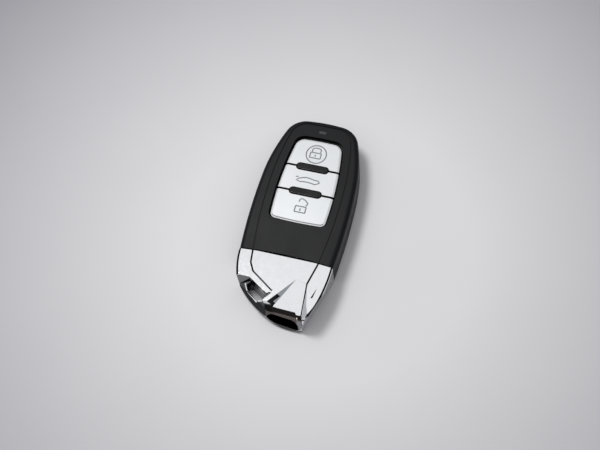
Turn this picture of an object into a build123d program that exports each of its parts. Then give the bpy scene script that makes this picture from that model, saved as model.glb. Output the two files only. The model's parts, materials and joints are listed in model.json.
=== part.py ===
from build123d import *
import os

# Smart key fob for a car: a black case in two halves with three silver buttons,
# and a bright end cap that draws the emergency key out of it. Millimetres.
# The fob lies on its back, centred, with its round end towards +Y and the cap
# towards -Y. Z is zero under the case. The case is sized from what it holds.

# End cap beyond the case, and the edges of both
cap_length = 23.65
top_edge_radius = 1.9
bottom_edge_radius = 1.9
cap_top_radius = 1.0
cap_bottom_radius = 1.2
overrun = 5.0

# Bowed joint between the case and the cap
joint_bow = 0.8
seam_gap = 0.5

# Clearances
fit_gap = 0.05
slide_gap = 0.15
free_gap = 0.3

# Case walls
case_wall = 1.5
end_wall = 1.5
panel_thickness = 1.6
floor_thickness = 1.4
split_room = 0.6
lip_thickness = 0.7
lip_height = 0.9
reveal_height = 0.3
reveal_depth = 0.25

# Accent line round the top of the case and down the cap
accent_width = 0.55
accent_depth = 0.35
cap_groove_width = 0.65
cap_groove_depth = 0.7

# Keypad: three buttons end to end
pad_width = 22.3
unlock_length = 13.0
boot_length = 10.6
lock_length = 12.4
pad_from_joint = 13.4
pad_end_margin = 8.2
pad_drop = 0.5
pad_bevel_width = 1.1
pad_bevel_height = 0.6
pad_top_radius = 4.0
pad_bottom_radius = 2.4
button_gap = 0.6
opening_gap = 0.3
opening_head = 0.4
flange_width = 1.0
flange_thickness = 0.7
button_travel = 0.45
stem_radius = 1.4

# Raised bars between the buttons
bar_length = 12.2
bar_width = 2.6
bar_drop = 0.1
bar_edge_radius = 0.3

# Frame under the buttons
frame_floor = 0.8
frame_rim = 0.8
gasket_thickness = 0.25
foot_radius = 0.8
foot_x = 9.6
foot_spacing_y = 24.0

# Circuit board and what stands on it
board_thickness = 1.0
board_clearance = 0.3
switch_length = 4.2
switch_width = 3.2
switch_height = 1.4
plunger_radius = 0.9
plunger_stroke_room = 0.9
plunger_height = 0.75
boss_radius = 1.9
boss_side_room = 1.0
boss_from_joint = 8.3
rest_radius = 0.9
screw_radius = 0.75
screw_head_radius = 1.5
screw_head_height = 0.8
screw_length = 4.2
led_length = 1.6
led_width = 0.8
led_height = 0.7
led_from_pad = 3.2
window_length = 2.8
window_width = 1.2
window_skirt = 0.5
window_skirt_height = 0.4
controller_size = 6.0
controller_height = 0.9
controller_from_latch = 0.2
controller_from_joint = 6.6
radio_size = 4.0
radio_height = 0.85
radio_x = -8.0
radio_from_joint = 34.3
crystal_length = 3.2
crystal_width = 2.5
crystal_height = 0.8
crystal_x = -1.5
crystal_from_joint = 32.8
capacitor_length = 1.6
capacitor_width = 0.8
capacitor_height = 0.8
capacitor_spacing = 2.4
capacitor_x = 2.0
capacitor_from_joint = 42.8
capacitor_rows = 4
capacitor_columns = 2
aerial_width = 0.8
aerial_height = 0.4
aerial_inset = 3.1
aerial_from_joint = 29.8

# Low frequency coil
coil_size = 9.4
coil_height = 3.3
coil_from_latch = 0.8
coil_from_joint = 6.5
winding_width = 5.4
winding_depth = 0.5

# Transponder capsule on the case floor
transponder_length = 12.0
transponder_width = 6.0
transponder_height = 3.0
transponder_taper = 0.8
transponder_x = -6.0
transponder_from_joint = 41.8

# Coin cell, a standard 20 by 3.2 size, in its drawer
cell_diameter = 20.0
cell_height = 3.2
cell_wall = 0.3
cell_ring_width = 1.0
cell_step = 0.25
contact_room = 1.1
tray_wall = 0.9
tray_side_room = 0.4
tray_front_wall = 1.45
tray_floor = 0.6
tray_side_drop = 0.1
tray_corner_radius = 3.0
tray_notch = 5.0
finger_notch_radius = 2.5
seal_width = 0.5
seal_thickness = 0.7

# Cell contacts under the board
contact_thickness = 0.2
contact_width = 3.0

# Emergency key blade
blade_width = 5.8
blade_thickness = 2.2
blade_lift = 1.0
blade_from_tray = 1.2
blade_side_room = 1.95
blade_reach = 41.8
blade_point = 3.0
blade_groove_width = 1.3
blade_groove_depth = 0.5
guide_thickness = 0.8
guide_over = 0.2
guide_from_joint = 3.8

# End cap and the holder that clamps the blade in it
cap_wall = 1.5
pocket_depth = 7.2
holder_step = 0.3
pin_radius = 0.9
pin_bite = 2.4
cap_screw_length = 7.2
left_screw_from_wall = 4.7
right_screw_shift = 0.5
right_screw_from_pin = 1.2

# Release button and latch spring
latch_x = 1.5
latch_width = 4.0
latch_thickness = 0.4
latch_panel_room = 0.6
hook_length = 0.8
hook_drop = 0.9
latch_sill = 0.4
latch_lift_room = 1.2
stake_radius = 0.6
release_travel = 0.8
release_from_joint = 3.4
release_length = 8.6
release_width = 4.6
release_recess = 0.2
release_flange = 0.6
release_stem = 2.4

# Outline shares: across is a share of the half width, along a share of the case
# beyond the joint, or of the cap before it
case_side_shares = [(0.375, 0.9934), (0.760, 0.896), (0.984, 0.5407), (0.9542, -0.0138)]
accent_side_shares = [(0.305, 0.9645), (0.6515, 0.8724), (0.7766, 0.5365), (0.6776, -0.0138)]
accent_crown_share = 0.9655
board_rest_share = (0.55, 0.936)
cap_right_shares = [(0.8625, 0.6427), (0.7547, 0.8626)]
cap_tip_shares = [(0.7547, 0.8626), (0.609, 0.9767), (0.5067, 0.9958)]
cap_end_shares = [(0.5067, 0.9958), (0.3925, 1.0), (-0.1617, 0.8943)]
cap_diagonal_shares = [(-0.1617, 0.8943), (-0.485, 0.7505), (-0.841, 0.4989)]
undercut_shares = [(0.981, -0.042), (0.7655, 0.5455), (0.5876, 0.968)]
undercut_outer_shares = [(0.5876, 0.968), (0.55, 1.06), (1.6, 1.06), (1.6, -0.042), (0.981, -0.042)]
ring_hole_shares = [
    (-0.689, 0.503), (-0.568, 0.477), (-0.251, 0.635), (-0.268, 0.693), (-0.432, 0.681), (-0.656, 0.554),
]
ring_shelf_shares = [
    (-1.04, 0.469), (-0.568, 0.477), (-0.251, 0.635), (-0.158, 0.672), (-0.120, 0.647),
    (-0.071, 0.651), (-0.197, 0.790), (-0.150, 0.860), (-0.150, 1.10), (-1.04, 1.10),
]
scoop_shares = [
    (0.328, 0.355), (0.169, 0.511), (0.016, 0.635), (-0.158, 0.841), (-0.158, 1.10),
    (0.650, 1.10), (0.590, 0.841), (0.546, 0.395),
]
tip_bevel_shares = [
    (0.555, 0.395), (0.652, 0.727), (0.725, 0.875), (0.776, 1.10), (0.600, 1.10), (0.572, 0.841),
]
scoop_groove_shares = [(0.553, 0.393), (0.578, 0.860)]
step_shares = [
    (-0.051, 0.812), (0.447, 0.8225), (0.480, 0.858), (0.566, 0.850), (0.6145, 0.8965),
    (0.658, 1.10), (-0.155, 1.10), (-0.155, 0.8625),
]
mouth_lean_shares = [(-0.210, 0.800), (0.600, 0.800), (0.600, 1.10), (-0.210, 1.10)]
mouth_lip_share = (0.350, 0.980)
left_groove_shares = [(-0.678, 0.0), (-0.640, 0.235), (-0.547, 0.368), (-0.068, 0.618)]
right_groove_shares = [(0.668, 0.0), (0.553, 0.393)]
nick_shares = [(0.689, 0.604), (0.727, 0.596), (0.770, 0.410)]
# Mouth outline: across is a share of the half width, up a share of the height
mouth_shares = [
    (-0.151, 0.270), (-0.090, 0.400), (-0.020, 0.455), (0.390, 0.460), (0.460, 0.425),
    (0.520, 0.340), (0.545, 0.200), (0.500, 0.155), (0.100, 0.155), (-0.060, 0.195),
]
# Corners and side of the keypad: across, along, and which way the corner grows
pad_corner_shares = [(0.963, 0.011, -1), (0.975, 0.56, 0), (0.795, 0.989, 1)]
# Milled track of the blade: across is a share of its width, along of its bare length
blade_track_shares = [(-0.1, 0.0), (-0.1, 0.2), (0.16, 0.4), (0.16, 0.6), (-0.05, 0.8), (-0.05, 1.05)]

# Facets of the cap: slopes are drops per length in plan
ring_shelf_depth = 4.0
ring_shelf_slope = 2.07
ring_bar_height = 4.0
ring_bar_slope = 0.3
ring_shelf_fall = (-0.53, -0.848)
scoop_slope = 0.33
scoop_fall = (0, -1)
ridge_slope = 2.2
ridge_fall = (0.793, -0.609)
scoop_groove_width = 0.6
scoop_groove_depth = 0.8
tip_bevel_slope = 0.9
tip_bevel_fall = (-0.967, -0.256)
undercut_lean = (0.149, -0.08, 1)
lean_low_share = 0.15
lean_depth = 2.3
step_height_share = 0.5
mouth_lip_height = 2.0
mouth_slope = 2.2
mouth_fall = (-0.1, -0.995)
mouth_depth = 6.0

# Heights, from the floor up through the drawer, board and keypad
tray_bottom = floor_thickness + slide_gap
cell_bottom = tray_bottom + tray_floor + fit_gap
cell_top = cell_bottom + cell_height
tray_side_height = tray_floor + fit_gap + cell_height - tray_side_drop
split_height = cell_top + split_room
tray_top = split_height - slide_gap
board_bottom = cell_top + contact_room
board_top = board_bottom + board_thickness
switch_top = board_top + switch_height
plunger_top = switch_top + fit_gap + button_travel
frame_bottom = plunger_top - slide_gap
frame_top = frame_bottom + frame_floor
flange_bottom = frame_top + button_travel + fit_gap * 2
flange_top = flange_bottom + flange_thickness
panel_bottom = flange_top + fit_gap * 2
case_height = panel_bottom + panel_thickness
pad_top = case_height - pad_drop
blade_bottom = floor_thickness + blade_lift
blade_top = blade_bottom + blade_thickness
guide_height = blade_lift + blade_thickness + guide_over
pocket_top = case_height - cap_wall
holder_bottom = cap_wall + fit_gap
holder_top = pocket_top - fit_gap
pin_length = blade_top - holder_bottom - fit_gap + pin_bite
latch_bottom = panel_bottom - latch_panel_room - latch_lift_room - latch_thickness

# Widths, from the drawer and the blade side by side
inner_joint_width = (
    tray_side_room
    + 2 * tray_wall
    + 2 * slide_gap
    + cell_diameter
    + blade_from_tray
    + blade_width
    + slide_gap
    + guide_thickness
    + blade_side_room
)
joint_half = inner_joint_width / 2 + case_wall
half_width = joint_half / case_side_shares[-1][0]
case_width = 2 * half_width
cell_cap_radius = cell_diameter / 2 - cell_wall - cell_ring_width
cell_x = tray_side_room + tray_wall + slide_gap + cell_diameter / 2 - inner_joint_width / 2
tray_left_x = cell_x - cell_diameter / 2 - slide_gap - tray_wall
tray_right_x = cell_x + cell_diameter / 2 + slide_gap + tray_wall
blade_x = tray_right_x + blade_from_tray + blade_width / 2
board_boss_x = joint_half - case_wall - boss_side_room - boss_radius
coil_x = latch_x - latch_width / 2 - coil_from_latch - coil_size / 2
controller_x = latch_x + latch_width / 2 + controller_from_latch + controller_size / 2
cap_screw_x = (left_screw_from_wall - inner_joint_width / 2, blade_x - right_screw_shift)
cap_screw_z = (case_height / 2, holder_bottom + fit_gap + pin_length + right_screw_from_pin)

# Lengths, from the buttons end to end
pad_length = unlock_length + boot_length + lock_length
body_length = pad_from_joint + pad_length + pad_end_margin
case_length = cap_length + body_length
tip_y = -case_length / 2
joint_y = tip_y + cap_length
joint_side_y = joint_y - joint_bow
inner_end_y = joint_y + end_wall
pad_low_y = joint_y + pad_from_joint
unlock_split_y = pad_low_y + unlock_length
lock_split_y = unlock_split_y + boot_length
led_y = pad_low_y + pad_length + led_from_pad
board_boss_y = joint_y + boss_from_joint
controller_y = joint_y + controller_from_joint
radio_y = joint_y + radio_from_joint
crystal_y = joint_y + crystal_from_joint
capacitor_y = joint_y + capacitor_from_joint
aerial_low_y = joint_y + aerial_from_joint
coil_y = joint_y + coil_from_joint
transponder_y = joint_y + transponder_from_joint
cell_y = joint_y + tray_front_wall + slide_gap + cell_diameter / 2
tray_back_y = cell_y + cell_diameter / 2 + slide_gap + tray_wall
blade_tip_y = joint_y + blade_reach
guide_low_y = joint_y + guide_from_joint
guide_high_y = blade_tip_y - blade_point
cap_pocket_y = joint_y - pocket_depth
holder_face_y = joint_side_y - seam_gap - holder_step
pin_y = (joint_side_y + cap_pocket_y) / 2
stake_y = cap_pocket_y + free_gap + 2 * stake_radius
release_y = joint_y - release_from_joint
front_width = tray_right_x - tray_left_x
front_height = tray_top - tray_bottom
front_centre = ((tray_left_x + tray_right_x) / 2, (tray_bottom + tray_top) / 2)
seal_y = inner_end_y - end_wall / 2


def case_point(across_share, along_share):
    """Plan point of the case beyond the joint."""
    return (across_share * half_width, joint_y + along_share * body_length)


def cap_point(across_share, along_share):
    """Plan point of the end cap."""
    return (across_share * half_width, joint_y - along_share * cap_length)


def arch_plan(crown_share, side_shares):
    """Closed plan of an arch: tangent arcs down one side, mirrored on the other."""
    with BuildSketch() as plan:
        with BuildLine():
            corners = [case_point(*share) for share in side_shares]
            arc = TangentArc(case_point(0, crown_share), corners[0], tangent=(1, 0))
            for corner in corners[1:]:
                arc = TangentArc(arc @ 1, corner, tangent=arc % 1)
            Polyline(arc @ 1, (corners[-1][0], tip_y), (0, tip_y))
            mirror(about=Plane.YZ)
        make_face()
    return plan.sketch


def cut_at(face, low_y):
    """The part of a plan that lies beyond a straight line across the fob."""
    with BuildSketch() as plan:
        add(face)
        with Locations((0, low_y)):
            Rectangle(2 * case_width, case_length, align=(Align.CENTER, Align.MAX), mode=Mode.SUBTRACT)
    return plan.sketch


def inset_plan(face, inset):
    """A plan drawn in all round, or let out where the inset is negative."""
    with BuildSketch() as plan:
        add(face)
        offset(amount=-inset, kind=Kind.INTERSECTION)
    return plan.sketch


def joint_plan(shift, side):
    """Everything on one side of the bowed joint: side is 1 for the case, -1 for the cap."""
    with BuildSketch() as plan:
        with BuildLine():
            middle = (0, joint_y + shift)
            sag = joint_bow * (case_width / joint_half) ** 2
            left = (-case_width, joint_y + shift - sag)
            right = (case_width, joint_y + shift - sag)
            ThreePointArc(left, middle, right)
            far_y = joint_y + side * case_length
            Polyline(right, (case_width, far_y), (-case_width, far_y), left)
        make_face()
    return plan.sketch


def pad_plan_of(growth, head=0):
    """Plan of the whole keypad, let out all round by a growth, and at its far end by a head."""
    half_pad = pad_width / 2
    high_y = pad_low_y + pad_length + growth + head
    low_y = pad_low_y - growth
    corners = []
    for across_share, along_share, outward in pad_corner_shares:
        corner_y = pad_low_y + along_share * (pad_length + head) + outward * growth
        corners.append((across_share * half_pad + growth, corner_y))
    bottom_right, right_middle, top_right = corners
    bottom_left, left_middle, top_left = [(-x, y) for x, y in corners]
    with BuildSketch() as plan:
        with BuildLine():
            ThreePointArc(bottom_right, right_middle, top_right)
            ThreePointArc(top_right, (0, high_y), top_left)
            ThreePointArc(top_left, left_middle, bottom_left)
            ThreePointArc(bottom_left, (0, low_y), bottom_right)
        make_face()
        fillet(plan.vertices().group_by(Axis.Y)[-1], pad_top_radius + growth)
        fillet(plan.vertices().group_by(Axis.Y)[0], pad_bottom_radius + growth)
    return plan.sketch


def cap_outline():
    """Plan of the end cap, run on past the joint so that it can be cut back to it."""
    with BuildSketch() as plan:
        with BuildLine():
            side = TangentArc((joint_half, joint_side_y), cap_point(*cap_right_shares[0]), tangent=(0, -1))
            TangentArc(side @ 1, cap_point(*cap_right_shares[1]), tangent=side % 1)
            Polyline(*[cap_point(*share) for share in cap_tip_shares])
            ThreePointArc(*[cap_point(*share) for share in cap_end_shares])
            ThreePointArc(*[cap_point(*share) for share in cap_diagonal_shares])
            TangentArc((-joint_half, joint_side_y), cap_point(*cap_diagonal_shares[-1]), tangent=(0, -1))
            Polyline(
                (-joint_half, joint_side_y),
                (-joint_half, joint_y + overrun),
                (joint_half, joint_y + overrun),
                (joint_half, joint_side_y),
            )
        make_face()
    return plan.sketch


def facet_cutter(point_shares, start, planes):
    """Everything over a plan that lies above each sloping plane: start, fall, slope."""
    with BuildPart() as cutter:
        with BuildSketch():
            with BuildLine():
                Polyline(*[cap_point(*share) for share in point_shares], close=True)
            make_face()
        extrude(amount=case_height + overrun)
        for height, (fall_x, fall_y), slope in planes:
            split(
                bisect_by=Plane(origin=(*start, height), z_dir=(slope * fall_x, slope * fall_y, 1)),
                keep=Keep.TOP,
            )
    return cutter


def blade_point_at(across_share, along_share):
    """Plan point of the blade past the joint."""
    return (blade_x + across_share * blade_width, joint_y + along_share * (blade_tip_y - joint_y))


case_plan = arch_plan(1, case_side_shares)
cap_plan = cap_outline()
hollow_plan = cut_at(inset_plan(case_plan, case_wall), inner_end_y)
lip_plan = cut_at(inset_plan(case_plan, case_wall - lip_thickness), inner_end_y - lip_thickness)
lip_recess_plan = cut_at(
    inset_plan(case_plan, case_wall - lip_thickness - fit_gap), inner_end_y - lip_thickness - fit_gap
)
reveal_plan = inset_plan(case_plan, reveal_depth)
board_plan = cut_at(
    inset_plan(case_plan, case_wall + board_clearance), inner_end_y + board_clearance
)
accent_plan = arch_plan(accent_crown_share, accent_side_shares)
accent_inner_plan = inset_plan(accent_plan, accent_width)
board_rest = case_point(*board_rest_share)
cap_zone = joint_plan(0, -1)
case_zone = joint_plan(-seam_gap, 1)
pad_plan = pad_plan_of(0)
opening_plan = pad_plan_of(opening_gap, opening_head)
flange_plan = pad_plan_of(flange_width)
rim_inner_plan = pad_plan_of(flange_width + slide_gap)
rim_outer_plan = pad_plan_of(flange_width + slide_gap + frame_rim)
button_centres = {
    "lock": (lock_split_y + pad_low_y + pad_length) / 2,
    "boot": (lock_split_y + unlock_split_y) / 2,
    "unlock": (unlock_split_y + pad_low_y) / 2,
}
bar_centres = [(0, lock_split_y), (0, unlock_split_y)]

# Facet cutters for the top of the cap
ring_shelf = facet_cutter(
    ring_shelf_shares,
    cap_point(*ring_hole_shares[1]),
    [
        (case_height - ring_shelf_depth, ring_shelf_fall, ring_shelf_slope),
        (ring_bar_height, ring_shelf_fall, ring_bar_slope),
    ],
)
scoop = facet_cutter(
    scoop_shares,
    cap_point(*scoop_shares[0]),
    [(case_height, scoop_fall, scoop_slope), (case_height, ridge_fall, ridge_slope)],
)
mouth_lean = facet_cutter(
    mouth_lean_shares,
    cap_point(*mouth_lip_share),
    [(mouth_lip_height, mouth_fall, mouth_slope)],
)
tip_bevel = facet_cutter(
    tip_bevel_shares,
    cap_point(*tip_bevel_shares[0]),
    [(case_height, tip_bevel_fall, tip_bevel_slope)],
)
with BuildPart() as side_undercut:
    with BuildSketch():
        with BuildLine():
            ThreePointArc(*[cap_point(*share) for share in undercut_shares])
            Polyline(*[cap_point(*share) for share in undercut_outer_shares])
        make_face()
    extrude(amount=case_height + overrun, dir=undercut_lean)
with BuildPart() as scoop_edge_groove:
    with BuildSketch():
        with BuildLine() as scoop_side:
            Polyline(*[cap_point(*share) for share in scoop_groove_shares])
        trace(scoop_side.line, scoop_groove_width)
    extrude(amount=case_height + overrun)
    split(
        bisect_by=Plane(
            origin=(*cap_point(*scoop_shares[0]), case_height - scoop_groove_depth),
            z_dir=(scoop_slope * scoop_fall[0], scoop_slope * scoop_fall[1], 1),
        ),
        keep=Keep.TOP,
    )

# Upper shell
with BuildPart() as upper_shell:
    with BuildSketch(Plane.XY.offset(split_height)):
        add(case_plan)
    extrude(amount=case_height - split_height)
    fillet(upper_shell.faces().sort_by(Axis.Z)[-1].edges(), top_edge_radius)
    with BuildSketch(Plane.XY.offset(split_height)):
        add(cap_zone)
    extrude(amount=case_height, mode=Mode.SUBTRACT)
    with BuildSketch(Plane.XY.offset(split_height)):
        add(hollow_plan)
    extrude(amount=panel_bottom - split_height, mode=Mode.SUBTRACT)
    # Shadow line along the parting of the two shells
    with BuildSketch(Plane.XY.offset(split_height)):
        add(case_plan)
        add(reveal_plan, mode=Mode.SUBTRACT)
    extrude(amount=reveal_height, mode=Mode.SUBTRACT)
    # Recess for the lower shell's lip
    with BuildSketch(Plane.XY.offset(split_height)):
        add(lip_recess_plan)
    extrude(amount=lip_height + fit_gap, mode=Mode.SUBTRACT)
    # Keypad opening and light window
    with BuildSketch(Plane.XY.offset(panel_bottom)):
        add(opening_plan)
        with Locations((0, led_y)):
            SlotOverall(window_length + 2 * fit_gap, window_width + 2 * fit_gap)
    extrude(amount=panel_thickness, mode=Mode.SUBTRACT)
    # Accent line
    with BuildSketch(Plane.XY.offset(case_height - accent_depth)):
        add(accent_plan)
        add(accent_inner_plan, mode=Mode.SUBTRACT)
    extrude(amount=accent_depth, mode=Mode.SUBTRACT)
    # Screw bosses and plain rests that carry the circuit board
    with BuildSketch(Plane.XY.offset(board_top)):
        with Locations((board_boss_x, board_boss_y), (-board_boss_x, board_boss_y)):
            Circle(boss_radius)
        with Locations(board_rest, (-board_rest[0], board_rest[1])):
            Circle(rest_radius)
    extrude(amount=panel_bottom - board_top)
    with BuildSketch(Plane.XY.offset(board_top)):
        with Locations((board_boss_x, board_boss_y), (-board_boss_x, board_boss_y)):
            Circle(screw_radius + fit_gap)
    extrude(amount=screw_length - board_thickness + free_gap, mode=Mode.SUBTRACT)
    # Slot in the end wall for the latch spring
    with BuildSketch(Plane.XZ.offset(-inner_end_y)):
        with Locations((latch_x, latch_bottom - latch_sill)):
            Rectangle(
                latch_width + 2 * slide_gap,
                latch_sill + latch_thickness + latch_lift_room,
                align=(Align.CENTER, Align.MIN),
            )
    extrude(amount=end_wall + joint_bow, mode=Mode.SUBTRACT)

# Lower shell
with BuildPart() as lower_shell:
    with BuildSketch():
        add(case_plan)
    extrude(amount=split_height)
    fillet(lower_shell.faces().sort_by(Axis.Z)[0].edges(), bottom_edge_radius)
    with BuildSketch():
        add(cap_zone)
    extrude(amount=case_height, mode=Mode.SUBTRACT)
    # Lip that the upper shell fits over
    with BuildSketch(Plane.XY.offset(split_height)):
        add(lip_plan)
    extrude(amount=lip_height)
    with BuildSketch(Plane.XY.offset(floor_thickness)):
        add(hollow_plan)
    extrude(amount=case_height, mode=Mode.SUBTRACT)
    # Drawer opening in the end wall
    with BuildSketch(Plane.XY.offset(floor_thickness)):
        with Locations((tray_left_x - slide_gap, inner_end_y + overrun)):
            Rectangle(
                tray_right_x - tray_left_x + 2 * slide_gap,
                overrun + end_wall + joint_bow,
                align=(Align.MIN, Align.MAX),
            )
    extrude(amount=case_height, mode=Mode.SUBTRACT)
    # Slot for the key blade
    with BuildSketch(Plane.XZ.offset(-inner_end_y)):
        with Locations((blade_x, blade_bottom - slide_gap)):
            Rectangle(
                blade_width + 2 * slide_gap,
                blade_thickness + 2 * slide_gap,
                align=(Align.CENTER, Align.MIN),
            )
    extrude(amount=end_wall + joint_bow, mode=Mode.SUBTRACT)
    # Rails that guide the blade: one along its outside, a short one past the drawer
    with BuildSketch(Plane.XY.offset(floor_thickness)):
        with Locations((blade_x + blade_width / 2 + slide_gap, guide_low_y)):
            Rectangle(guide_thickness, guide_high_y - guide_low_y, align=(Align.MIN, Align.MIN))
        with Locations((blade_x - blade_width / 2 - slide_gap, tray_back_y + free_gap)):
            Rectangle(
                guide_thickness,
                guide_high_y - tray_back_y - free_gap,
                align=(Align.MAX, Align.MIN),
            )
    extrude(amount=guide_height)
    # Fence round the transponder
    with BuildSketch(Plane.XY.offset(floor_thickness)):
        with Locations((transponder_x, transponder_y)):
            Rectangle(
                transponder_length + 2 * slide_gap + 2 * guide_thickness,
                transponder_width + 2 * slide_gap + 2 * guide_thickness,
            )
            Rectangle(
                transponder_length + 2 * slide_gap,
                transponder_width + 2 * slide_gap,
                mode=Mode.SUBTRACT,
            )
    extrude(amount=transponder_height / 2)

# Light window: a clear pipe with a skirt under the panel
with BuildPart() as led_window:
    with BuildSketch(Plane.XY.offset(board_top + led_height + slide_gap)):
        with Locations((0, led_y)):
            SlotOverall(window_length, window_width)
    extrude(amount=case_height - fit_gap - board_top - led_height - slide_gap)
    with BuildSketch(Plane.XY.offset(panel_bottom - window_skirt_height)):
        with Locations((0, led_y)):
            SlotOverall(window_length + 2 * window_skirt, window_width + 2 * window_skirt)
    extrude(amount=window_skirt_height)

# Whole keypad with its bevelled edge and flange, before it is cut in three
with BuildPart() as pad_blank:
    with BuildSketch(Plane.XY.offset(flange_top)):
        add(pad_plan)
    extrude(amount=pad_top - flange_top)
    pad_face = pad_blank.faces().sort_by(Axis.Z)[-1]
    chamfer(pad_face.edges(), length=pad_bevel_width, length2=pad_bevel_height, reference=pad_face)
    with BuildSketch(Plane.XY.offset(flange_bottom)):
        add(flange_plan)
    extrude(amount=flange_thickness)


def press_button(name, low_y, high_y):
    """One button: a band of the keypad, cleared round the bars, with its stem."""
    with BuildPart() as button:
        add(pad_blank.part)
        with BuildSketch(Plane.XY.offset(flange_bottom)):
            with Locations((0, (low_y + high_y) / 2)):
                Rectangle(case_width, high_y - low_y)
        extrude(amount=case_height, mode=Mode.INTERSECT)
        with BuildSketch(Plane.XY.offset(flange_bottom)):
            with Locations(*bar_centres):
                SlotOverall(bar_length + 2 * opening_gap, bar_width + 2 * opening_gap)
        extrude(amount=case_height, mode=Mode.SUBTRACT)
        with BuildSketch(Plane.XY.offset(plunger_top)):
            with Locations((0, button_centres[name])):
                Circle(stem_radius)
        extrude(amount=flange_bottom - plunger_top)
    return button


def press_plunger(name):
    """The moving nub of one switch."""
    with BuildPart() as plunger:
        with BuildSketch(Plane.XY.offset(plunger_top - plunger_height)):
            with Locations((0, button_centres[name])):
                Circle(plunger_radius)
        extrude(amount=plunger_height)
        chamfer(plunger.edges().sort_by(Axis.Z)[-1], fit_gap * 2)
    return plunger


def tact_switch(name):
    """The body of one switch, with the hole that its plunger works in."""
    with BuildPart() as switch:
        with BuildSketch(Plane.XY.offset(board_top)):
            with Locations((0, button_centres[name])):
                Rectangle(switch_length, switch_width)
        extrude(amount=switch_height)
        chamfer(switch.edges().filter_by(Axis.Z), slide_gap * 2)
        with BuildSketch(Plane.XY.offset(switch_top - plunger_stroke_room)):
            with Locations((0, button_centres[name])):
                Circle(plunger_radius + fit_gap)
        extrude(amount=plunger_stroke_room, mode=Mode.SUBTRACT)
    return switch


button_bands = {
    "lock": (lock_split_y + button_gap / 2, pad_low_y + pad_length + overrun),
    "boot": (unlock_split_y + button_gap / 2, lock_split_y - button_gap / 2),
    "unlock": (pad_low_y - overrun, unlock_split_y - button_gap / 2),
}

# Frame that guides the button stems and carries the raised bars
with BuildPart() as button_frame:
    with BuildSketch(Plane.XY.offset(frame_bottom)):
        add(rim_outer_plan)
        for side in (-1, 1):
            with Locations((side * board_boss_x, pad_low_y + overrun)):
                Rectangle(
                    2 * boss_radius + frame_rim,
                    pad_low_y + overrun - board_boss_y + boss_radius + frame_rim,
                    align=(Align.CENTER, Align.MAX),
                )
            with Locations((side * board_boss_x, board_boss_y)):
                Circle(boss_radius + fit_gap, mode=Mode.SUBTRACT)
        with Locations(*[(0, centre) for centre in button_centres.values()]):
            Circle(stem_radius + fit_gap, mode=Mode.SUBTRACT)
    extrude(amount=frame_floor)
    with BuildSketch(Plane.XY.offset(frame_top)):
        add(rim_outer_plan)
        add(rim_inner_plan, mode=Mode.SUBTRACT)
    extrude(amount=panel_bottom - gasket_thickness - frame_top)
    with BuildSketch(Plane.XY.offset(frame_top)):
        with Locations(*bar_centres):
            SlotOverall(bar_length, bar_width)
    extrude(amount=case_height - bar_drop - frame_top)
    fillet(button_frame.faces().sort_by(Axis.Z)[-2:].edges(), bar_edge_radius)
    # Feet that stand on the circuit board
    with BuildSketch(Plane.XY.offset(board_top)):
        with Locations((0, button_centres["boot"])):
            with GridLocations(2 * foot_x, foot_spacing_y, 2, 2):
                Circle(foot_radius)
    extrude(amount=frame_bottom - board_top)

# Gasket between the frame and the panel
with BuildPart() as keypad_gasket:
    with BuildSketch(Plane.XY.offset(panel_bottom - gasket_thickness)):
        add(rim_outer_plan)
        add(rim_inner_plan, mode=Mode.SUBTRACT)
    extrude(amount=gasket_thickness)

# Circuit board
with BuildPart() as circuit_board:
    with BuildSketch(Plane.XY.offset(board_bottom)):
        add(board_plan)
        with Locations((board_boss_x, board_boss_y), (-board_boss_x, board_boss_y)):
            Circle(screw_radius + fit_gap, mode=Mode.SUBTRACT)
    extrude(amount=board_thickness)

# Screws that hold the board up against the upper shell's bosses
with BuildPart() as board_screws:
    with BuildSketch(Plane.XY.offset(board_bottom)):
        with Locations((board_boss_x, board_boss_y), (-board_boss_x, board_boss_y)):
            Circle(screw_radius)
    extrude(amount=screw_length)
    with BuildSketch(Plane.XY.offset(board_bottom - screw_head_height)):
        with Locations((board_boss_x, board_boss_y), (-board_boss_x, board_boss_y)):
            Circle(screw_head_radius)
    extrude(amount=screw_head_height)


def chip(length, width, height, x, y, base):
    """A plain block on the board, with its corners broken."""
    with BuildPart() as block:
        with BuildSketch(Plane.XY.offset(base)):
            with Locations((x, y)):
                Rectangle(length, width)
        extrude(amount=height)
        chamfer(block.edges().filter_by(Axis.Z), fit_gap * 3)
    return block


# Small capacitors under the board
with BuildPart() as chip_capacitors:
    with BuildSketch(Plane.XY.offset(board_bottom - capacitor_height)):
        with Locations((capacitor_x, capacitor_y)):
            with GridLocations(capacitor_spacing, capacitor_spacing, capacitor_columns, capacitor_rows):
                Rectangle(capacitor_length, capacitor_width)
    extrude(amount=capacitor_height)

# Radio aerial: a flat loop round the far half of the board
with BuildPart() as aerial_loop:
    with BuildSketch(Plane.XY.offset(board_top)):
        add(cut_at(inset_plan(case_plan, aerial_inset), aerial_low_y))
        add(cut_at(inset_plan(case_plan, aerial_inset + aerial_width), aerial_low_y), mode=Mode.SUBTRACT)
    extrude(amount=aerial_height)

# Core of the low frequency coil, with a waist for each winding
with BuildPart() as coil_core:
    with BuildSketch(Plane.XY.offset(board_top)):
        with Locations((coil_x, coil_y)):
            Rectangle(coil_size, coil_size)
    extrude(amount=coil_height)
    with BuildSketch(Plane.XY.offset(board_top)):
        with Locations((coil_x, coil_y)):
            Rectangle(coil_size, winding_width)
            Rectangle(coil_size - 2 * winding_depth, winding_width, mode=Mode.SUBTRACT)
            Rectangle(winding_width, coil_size)
            Rectangle(winding_width, coil_size - 2 * winding_depth, mode=Mode.SUBTRACT)
    extrude(amount=coil_height, mode=Mode.SUBTRACT)

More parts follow.
